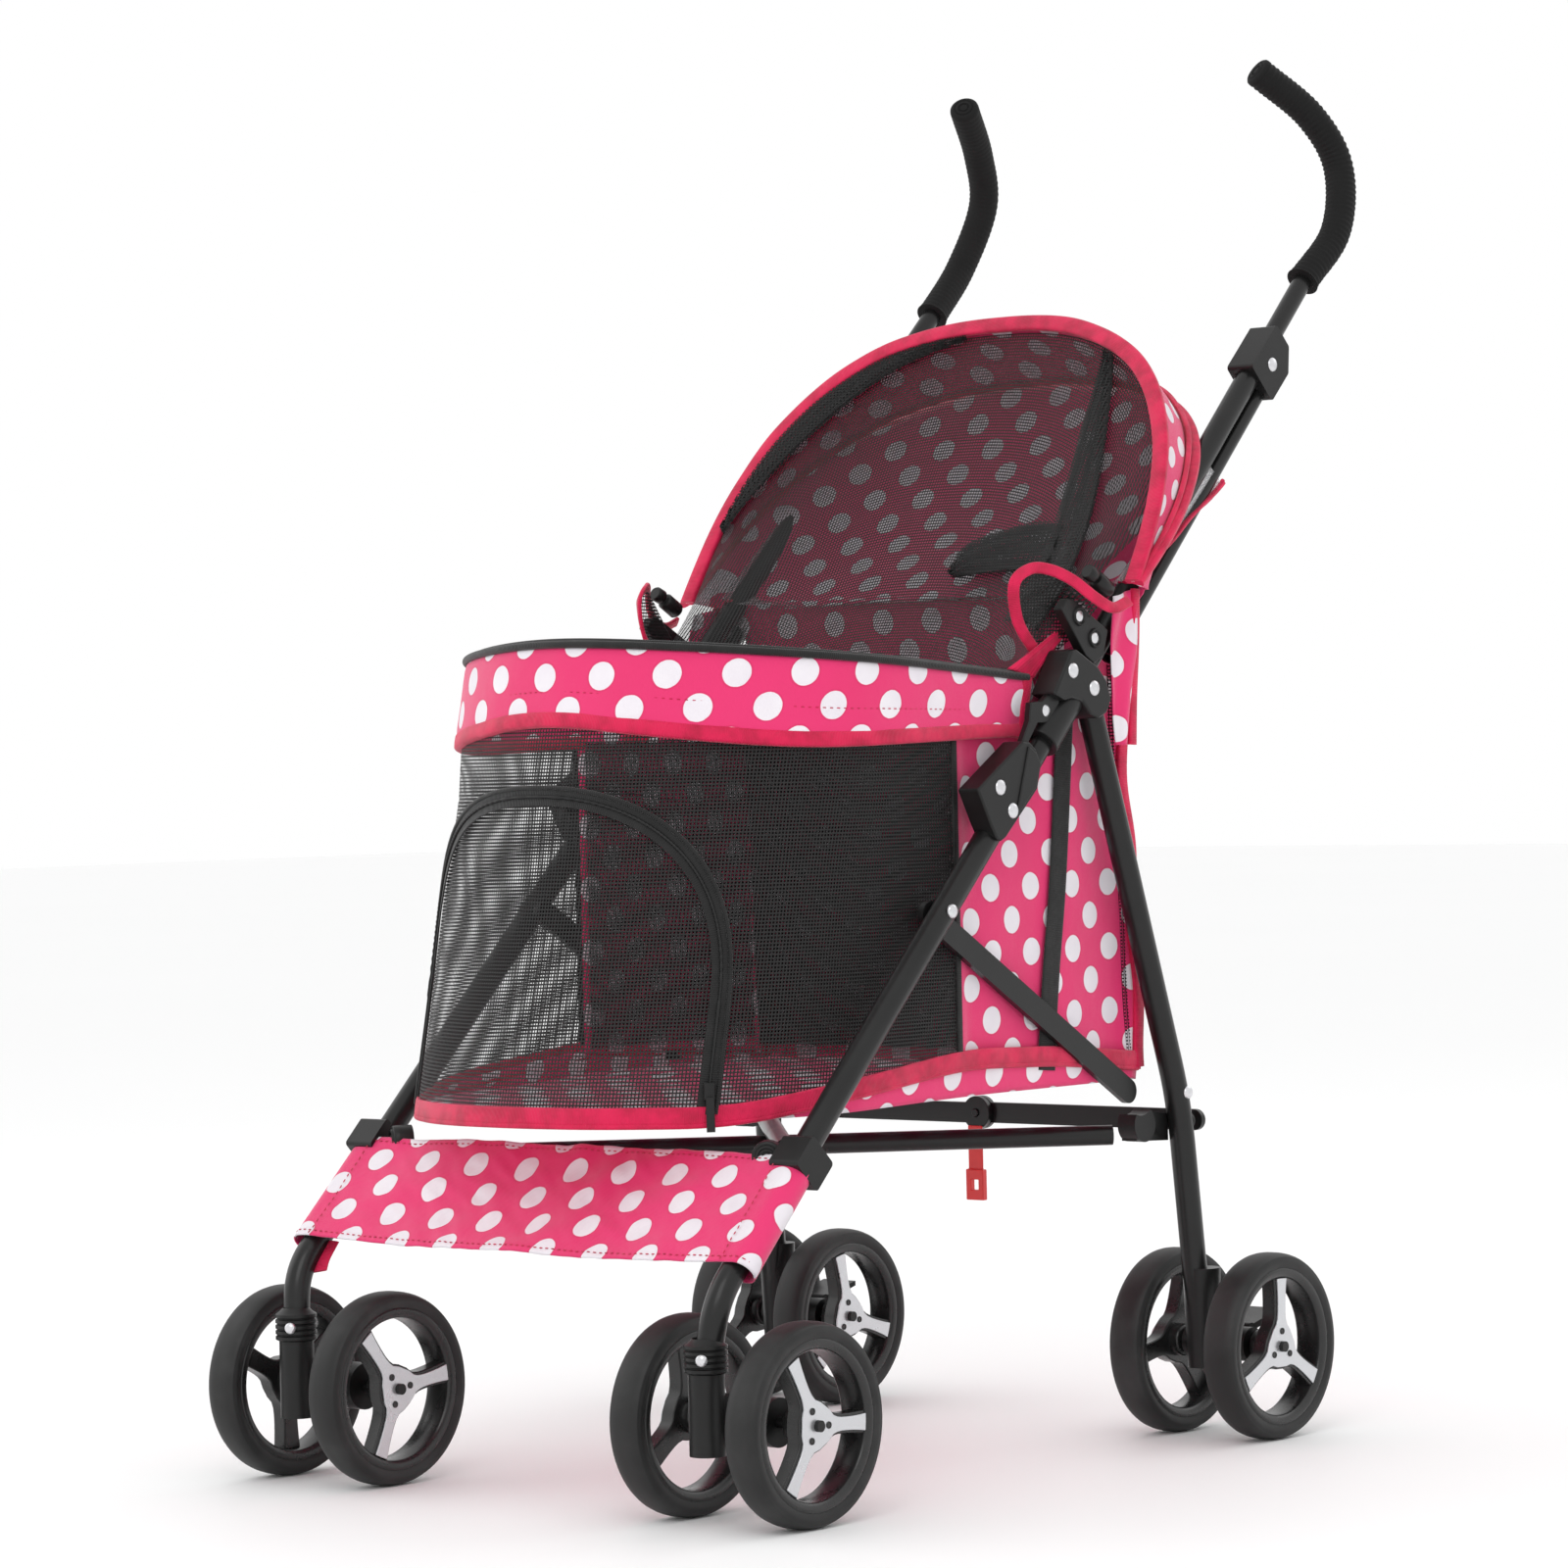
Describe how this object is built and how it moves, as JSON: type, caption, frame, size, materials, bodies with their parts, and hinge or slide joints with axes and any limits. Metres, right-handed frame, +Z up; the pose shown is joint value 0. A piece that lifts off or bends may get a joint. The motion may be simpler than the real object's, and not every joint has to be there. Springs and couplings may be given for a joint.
{
  "type": "pet stroller",
  "caption": "Folding pet stroller: umbrella frame on twin swivelling front wheels and braked rear wheels, with a soft mesh and dotted fabric cabin, hood and footrest.",
  "frame": {"origin": "on the floor, under the middle of the stroller's bounding box", "axes": "+X to the right-hand side, -Y forward, +Z up"},
  "size_m": [0.539, 0.8512, 1.0646],
  "materials": {
    "frame_black": "satin black powder coat",
    "joint_plastic": "moulded satin black",
    "grip_foam": "matte foam",
    "rivet_steel": "domed bright steel",
    "tyre_rubber": "smooth matte",
    "rim_plastic": "black with bright trim",
    "red_plastic": "moulded",
    "dotted_fabric": "hot pink weave with pale dots",
    "black_mesh": "open net",
    "crimson_fabric": "plain weave binding",
    "black_webbing": "ribbed webbing",
    "clear_vinyl": "flexible clear film",
    "trim_silver": "brushed"
  },
  "bodies": {
    "cabin": {"cabin_floor": "dotted_fabric", "cabin_mesh": "black_mesh", "cabin_panel": "dotted_fabric", "rim_band": "dotted_fabric", "footrest_panel": "dotted_fabric", "back_panel": "dotted_fabric"},
    "front_door": {"front_door": "black_mesh"},
    "hood": {"hood_front": "crimson_fabric"},
    "hood_pleat": {"hood_pleat": "dotted_fabric"},
    "left_front_bar": {"left_front_bar": "frame_black"},
    "right_front_bar": {"right_front_bar": "frame_black"},
    "left_side": {"left_front_leg": "frame_black", "left_knuckle": "joint_plastic", "left_casting": "joint_plastic", "left_handle_tube": "frame_black", "left_grip": "grip_foam", "left_clamp": "joint_plastic", "left_lock_strut": "frame_black", "left_rear_leg": "frame_black", "left_side_link": "frame_black", "left_rivets": "rivet_steel", "left_caster_collar": "joint_plastic", "left_rear_socket": "joint_plastic", "left_seat_bracket": "joint_plastic"},
    "left_brace": {"left_brace": "frame_black", "release_tab": "red_plastic"},
    "left_caster": {"left_caster_body": "joint_plastic"},
    "left_pedal": {"left_brake_pedal": "joint_plastic"},
    "left_front_inner_wheel": {"left_front_inner_tyre": "tyre_rubber", "left_front_inner_rim": "rim_plastic"},
    "left_front_outer_wheel": {"left_front_outer_tyre": "tyre_rubber", "left_front_outer_rim": "rim_plastic"},
    "left_rear_inner_wheel": {"left_rear_inner_tyre": "tyre_rubber", "left_rear_inner_rim": "rim_plastic"},
    "left_rear_outer_wheel": {"left_rear_outer_tyre": "tyre_rubber", "left_rear_outer_rim": "rim_plastic"},
    "right_side": {"right_front_leg": "frame_black", "right_knuckle": "joint_plastic", "right_casting": "joint_plastic", "right_handle_tube": "frame_black", "right_grip": "grip_foam", "right_clamp": "joint_plastic", "right_lock_strut": "frame_black", "right_rear_leg": "frame_black", "right_side_link": "frame_black", "right_rivets": "rivet_steel", "right_caster_collar": "joint_plastic", "right_rear_socket": "joint_plastic", "right_seat_bracket": "joint_plastic"},
    "right_brace": {"right_brace": "frame_black"},
    "right_caster": {"right_caster_body": "joint_plastic"},
    "right_pedal": {"right_brake_pedal": "joint_plastic"},
    "right_front_inner_wheel": {"right_front_inner_tyre": "tyre_rubber", "right_front_inner_rim": "rim_plastic"},
    "right_front_outer_wheel": {"right_front_outer_tyre": "tyre_rubber", "right_front_outer_rim": "rim_plastic"},
    "right_rear_inner_wheel": {"right_rear_inner_tyre": "tyre_rubber", "right_rear_inner_rim": "rim_plastic"},
    "right_rear_outer_wheel": {"right_rear_outer_tyre": "tyre_rubber", "right_rear_outer_rim": "rim_plastic"}
  },
  "joints": [
    {"name": "fold", "type": "slide", "parent": "cabin", "child": "right_side", "axis": [-1, 0, 0], "range_m": [0, 0.08], "deforming": ["cabin_floor", "cabin_mesh", "cabin_panel", "rim_band", "footrest_panel", "back_panel", "front_door", "hood_front", "hood_pleat"]},
    {"name": "fold_left", "type": "slide", "parent": "cabin", "child": "left_side", "axis": [1, 0, 0], "range_m": [0, 0.08]},
    {"name": "left_bar_swing", "type": "hinge", "parent": "cabin", "child": "left_front_bar", "pos_m": [0, -0.095, 0.24], "axis": [0, 0, 1], "range_deg": [0, 21.27]},
    {"name": "right_bar_swing", "type": "hinge", "parent": "cabin", "child": "right_front_bar", "pos_m": [0, -0.095, 0.24], "axis": [0, 0, -1], "range_deg": [0, 21.27]},
    {"name": "left_brace_swing", "type": "hinge", "parent": "left_side", "child": "left_brace", "pos_m": [-0.20533, 0.156, 0.24], "axis": [0, 1, 0], "range_deg": [0, 52.43]},
    {"name": "left_caster_swivel", "type": "hinge", "parent": "left_side", "child": "left_caster", "pos_m": [-0.198, -0.3955, 0.1], "axis": [0, 0, 1], "continuous": true},
    {"name": "left_brake", "type": "hinge", "parent": "left_side", "child": "left_pedal", "pos_m": [-0.211, 0.1943, 0.08], "axis": [-1, 0, 0], "range_deg": [0, 15]},
    {"name": "left_front_inner_roll", "type": "hinge", "parent": "left_caster", "child": "left_front_inner_wheel", "pos_m": [-0.146, -0.3555, 0.07], "axis": [1, 0, 0], "continuous": true},
    {"name": "left_front_outer_roll", "type": "hinge", "parent": "left_caster", "child": "left_front_outer_wheel", "pos_m": [-0.25, -0.3555, 0.07], "axis": [1, 0, 0], "continuous": true},
    {"name": "left_rear_inner_roll", "type": "hinge", "parent": "left_side", "child": "left_rear_inner_wheel", "pos_m": [-0.1675, 0.1793, 0.07], "axis": [1, 0, 0], "continuous": true},
    {"name": "left_rear_outer_roll", "type": "hinge", "parent": "left_side", "child": "left_rear_outer_wheel", "pos_m": [-0.2545, 0.1793, 0.07], "axis": [1, 0, 0], "continuous": true},
    {"name": "right_brace_swing", "type": "hinge", "parent": "right_side", "child": "right_brace", "pos_m": [0.20533, 0.156, 0.24], "axis": [0, -1, 0], "range_deg": [0, 52.43]},
    {"name": "right_caster_swivel", "type": "hinge", "parent": "right_side", "child": "right_caster", "pos_m": [0.198, -0.3955, 0.1], "axis": [0, 0, 1], "continuous": true},
    {"name": "right_brake", "type": "hinge", "parent": "right_side", "child": "right_pedal", "pos_m": [0.211, 0.1943, 0.08], "axis": [-1, 0, 0], "range_deg": [0, 15]},
    {"name": "right_front_inner_roll", "type": "hinge", "parent": "right_caster", "child": "right_front_inner_wheel", "pos_m": [0.146, -0.3555, 0.07], "axis": [1, 0, 0], "continuous": true},
    {"name": "right_front_outer_roll", "type": "hinge", "parent": "right_caster", "child": "right_front_outer_wheel", "pos_m": [0.25, -0.3555, 0.07], "axis": [1, 0, 0], "continuous": true},
    {"name": "right_rear_inner_roll", "type": "hinge", "parent": "right_side", "child": "right_rear_inner_wheel", "pos_m": [0.1675, 0.1793, 0.07], "axis": [1, 0, 0], "continuous": true},
    {"name": "right_rear_outer_roll", "type": "hinge", "parent": "right_side", "child": "right_rear_outer_wheel", "pos_m": [0.2545, 0.1793, 0.07], "axis": [1, 0, 0], "continuous": true},
    {"name": "hood_swing", "type": "hinge", "parent": "cabin", "child": "hood", "pos_m": [0, 0.071, 0.641], "axis": [1, 0, 0], "range_deg": [0, 24]},
    {"name": "pleat_swing", "type": "hinge", "parent": "cabin", "child": "hood_pleat", "pos_m": [0, 0.071, 0.641], "axis": [1, 0, 0], "range_deg": [0, 12]},
    {"name": "door_swing", "type": "hinge", "parent": "cabin", "child": "front_door", "pos_m": [0, -0.387, 0.277], "axis": [1, 0, 0], "range_deg": [0, 95]}
  ],
  "couplings": [
    {"joint": "fold_left", "follows": "fold", "ratio": 1},
    {"joint": "left_bar_swing", "follows": "fold", "rad_per_m": 4.6305},
    {"joint": "right_bar_swing", "follows": "fold", "rad_per_m": 4.6305},
    {"joint": "left_brace_swing", "follows": "fold", "rad_per_m": 11.428},
    {"joint": "right_brace_swing", "follows": "fold", "rad_per_m": 11.428},
    {"joint": "pleat_swing", "follows": "hood_swing", "ratio": 0.5}
  ]
}
